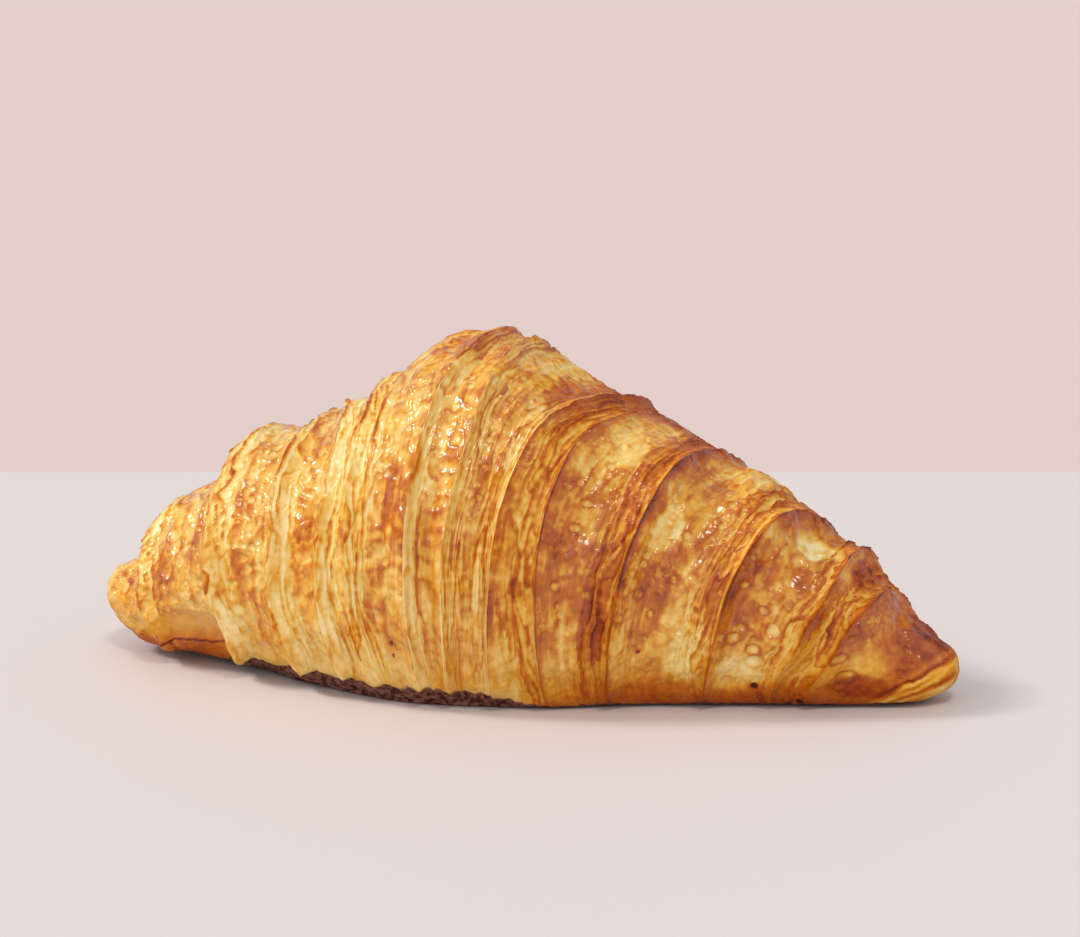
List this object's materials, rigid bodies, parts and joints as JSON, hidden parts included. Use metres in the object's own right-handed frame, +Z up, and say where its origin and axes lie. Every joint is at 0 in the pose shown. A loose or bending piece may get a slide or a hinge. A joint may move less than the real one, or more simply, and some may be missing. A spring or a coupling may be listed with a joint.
{
  "type": "croissant",
  "caption": "Straight butter croissant: one baked roll of laminated dough, high in the middle, with overlapping wraps that step down to two blunt tips and a flat underside.",
  "frame": {"origin": "centre of the bounding box in plan, on the flat underside", "axes": "+X along the roll towards the more pointed tip, +Y towards the back, +Z up"},
  "size_m": [0.1656, 0.0742, 0.066],
  "materials": {
    "crust": "egg-washed golden-brown baked crust, glossy on the open face of each wrap and matte on the laminated edges"
  },
  "bodies": {
    "root": {"croissant": "crust"}
  },
  "joints": []
}
